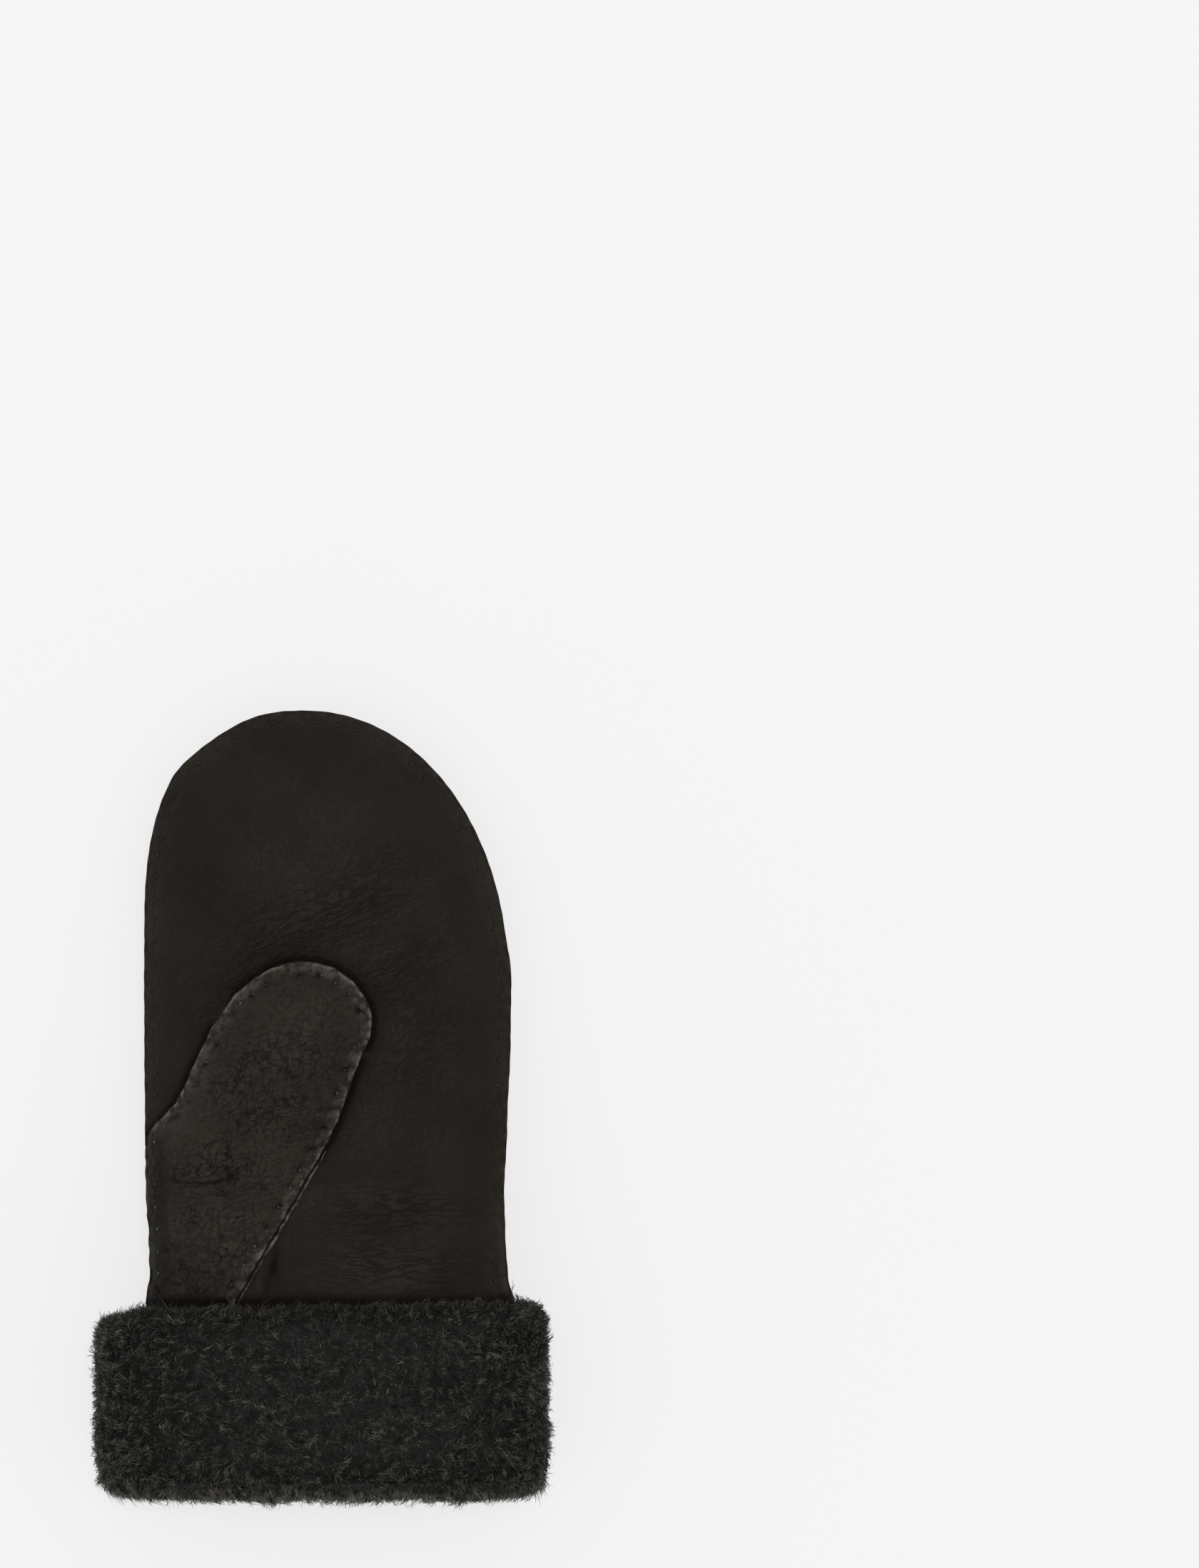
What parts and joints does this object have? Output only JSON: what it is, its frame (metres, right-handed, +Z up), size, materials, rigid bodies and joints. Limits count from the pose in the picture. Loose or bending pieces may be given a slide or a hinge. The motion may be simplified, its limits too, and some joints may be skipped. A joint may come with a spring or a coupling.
{
  "type": "leather mitten",
  "caption": "Left-hand sheepskin mitten lying palm up, with stitched leather panels, a loose thumb and a turned-up wool cuff.",
  "frame": {"origin": "bottom centre of the whole mitten, on the surface that it lies on", "axes": "+Y toward the finger tip, +X away from the thumb's side, +Z up out of the palm"},
  "size_m": [0.1482, 0.2606, 0.0663],
  "materials": {
    "hand_leather": "soft matt black-brown hide with a fine grain",
    "thumb_leather": "soft matt black-brown hide, finely creased",
    "wool": "deep curly black wool"
  },
  "bodies": {
    "root": {"palm_panel": "hand_leather", "back_panel": "hand_leather", "thumb_front": "thumb_leather", "cuff_skin": "hand_leather", "cuff_fleece": "wool"}
  },
  "joints": []
}
